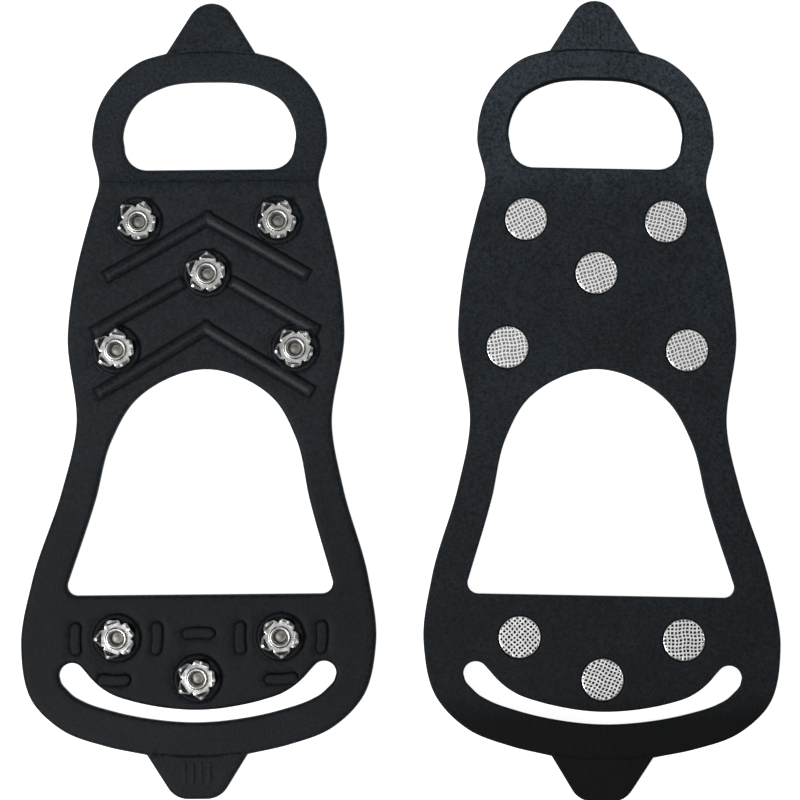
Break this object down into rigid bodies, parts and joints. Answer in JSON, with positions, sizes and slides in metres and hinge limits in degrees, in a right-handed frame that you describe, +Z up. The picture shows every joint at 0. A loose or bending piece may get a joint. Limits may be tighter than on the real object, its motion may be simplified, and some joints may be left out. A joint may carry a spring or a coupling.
{
  "type": "shoe ice cleats",
  "caption": "Pair of stretch rubber overshoe ice cleats with riveted star studs, one lying studs up and one shoe side up.",
  "frame": {"origin": "middle of the pair on the surface that it lies on, at the centre of its bounding box", "axes": "+Y towards the toes, +X from the left cleat to the right one as they lie, +Z up"},
  "size_m": [0.2188, 0.2301, 0.0083],
  "materials": {
    "rubber": "matt moulded rubber with a fine grain",
    "rivet_steel": "plated steel, knurled head",
    "crown_steel": "bright plated steel stamping"
  },
  "bodies": {
    "left_forefoot": {"left_forefoot": "rubber", "left_rivet_front_outer": "rivet_steel", "left_crown_front_outer": "crown_steel", "left_rivet_front_inner": "rivet_steel", "left_crown_front_inner": "crown_steel", "left_rivet_front_middle": "rivet_steel", "left_crown_front_middle": "crown_steel", "left_rivet_ball_outer": "rivet_steel", "left_crown_ball_outer": "crown_steel", "left_rivet_ball_inner": "rivet_steel", "left_crown_ball_inner": "crown_steel"},
    "left_toe_band": {"left_toe_band": "rubber"},
    "left_toe_tab": {"left_toe_tab": "rubber"},
    "left_heel": {"left_heel": "rubber", "left_rivet_heel_outer": "rivet_steel", "left_crown_heel_outer": "crown_steel", "left_rivet_heel_inner": "rivet_steel", "left_crown_heel_inner": "crown_steel", "left_rivet_heel_middle": "rivet_steel", "left_crown_heel_middle": "crown_steel"},
    "left_heel_band": {"left_heel_band": "rubber"},
    "left_heel_tab": {"left_heel_tab": "rubber"},
    "right_forefoot": {"right_forefoot": "rubber", "right_rivet_front_outer": "rivet_steel", "right_crown_front_outer": "crown_steel", "right_rivet_front_inner": "rivet_steel", "right_crown_front_inner": "crown_steel", "right_rivet_front_middle": "rivet_steel", "right_crown_front_middle": "crown_steel", "right_rivet_ball_outer": "rivet_steel", "right_crown_ball_outer": "crown_steel", "right_rivet_ball_inner": "rivet_steel", "right_crown_ball_inner": "crown_steel"},
    "right_toe_band": {"right_toe_band": "rubber"},
    "right_toe_tab": {"right_toe_tab": "rubber"},
    "right_heel": {"right_heel": "rubber", "right_rivet_heel_outer": "rivet_steel", "right_crown_heel_outer": "crown_steel", "right_rivet_heel_inner": "rivet_steel", "right_crown_heel_inner": "crown_steel", "right_rivet_heel_middle": "rivet_steel", "right_crown_heel_middle": "crown_steel"},
    "right_heel_band": {"right_heel_band": "rubber"},
    "right_heel_tab": {"right_heel_tab": "rubber"}
  },
  "joints": [
    {"name": "left_toe_band_fold", "type": "hinge", "parent": "left_forefoot", "child": "left_toe_band", "pos_m": [-0.05703, 0.07243, 0.003], "axis": [1, 0.0093, 0], "range_deg": [0, 110], "stiffness_Nm_per_rad": 0.01},
    {"name": "left_toe_tab_pull", "type": "hinge", "parent": "left_toe_band", "child": "left_toe_tab", "pos_m": [-0.05729, 0.10063, 0.003], "axis": [1, 0.0093, 0], "range_deg": [0, 75], "stiffness_Nm_per_rad": 0.006},
    {"name": "left_arch_fold", "type": "hinge", "parent": "left_forefoot", "child": "left_heel", "pos_m": [-0.05624, -0.01306, 0.003], "axis": [-1, -0.0093, 0], "range_deg": [0, 95], "stiffness_Nm_per_rad": 0.015},
    {"name": "left_heel_band_fold", "type": "hinge", "parent": "left_heel", "child": "left_heel_band", "pos_m": [-0.05563, -0.07886, 0.003], "axis": [-1, -0.0093, 0], "range_deg": [0, 110], "stiffness_Nm_per_rad": 0.01},
    {"name": "left_heel_tab_pull", "type": "hinge", "parent": "left_heel_band", "child": "left_heel_tab", "pos_m": [-0.05542, -0.10206, 0.003], "axis": [-1, -0.0093, 0], "range_deg": [0, 75], "stiffness_Nm_per_rad": 0.006},
    {"name": "right_cleat_lift", "type": "slide", "parent": "left_forefoot", "child": "right_forefoot", "axis": [0, 0, 1], "range_m": [0, 0.15]},
    {"name": "right_toe_band_fold", "type": "hinge", "parent": "right_forefoot", "child": "right_toe_band", "pos_m": [0.05826, 0.07242, 0.00826], "axis": [0.9998, -0.0178, 0], "range_deg": [0, 110], "stiffness_Nm_per_rad": 0.01},
    {"name": "right_toe_tab_pull", "type": "hinge", "parent": "right_toe_band", "child": "right_toe_tab", "pos_m": [0.05876, 0.10062, 0.00826], "axis": [0.9998, -0.0178, 0], "range_deg": [0, 75], "stiffness_Nm_per_rad": 0.006},
    {"name": "right_arch_fold", "type": "hinge", "parent": "right_forefoot", "child": "right_heel", "pos_m": [0.05674, -0.01306, 0.00826], "axis": [-0.9998, 0.0178, 0], "range_deg": [0, 95], "stiffness_Nm_per_rad": 0.015},
    {"name": "right_heel_band_fold", "type": "hinge", "parent": "right_heel", "child": "right_heel_band", "pos_m": [0.05557, -0.07885, 0.00826], "axis": [-0.9998, 0.0178, 0], "range_deg": [0, 110], "stiffness_Nm_per_rad": 0.01},
    {"name": "right_heel_tab_pull", "type": "hinge", "parent": "right_heel_band", "child": "right_heel_tab", "pos_m": [0.05516, -0.10205, 0.00826], "axis": [-0.9998, 0.0178, 0], "range_deg": [0, 75], "stiffness_Nm_per_rad": 0.006}
  ]
}
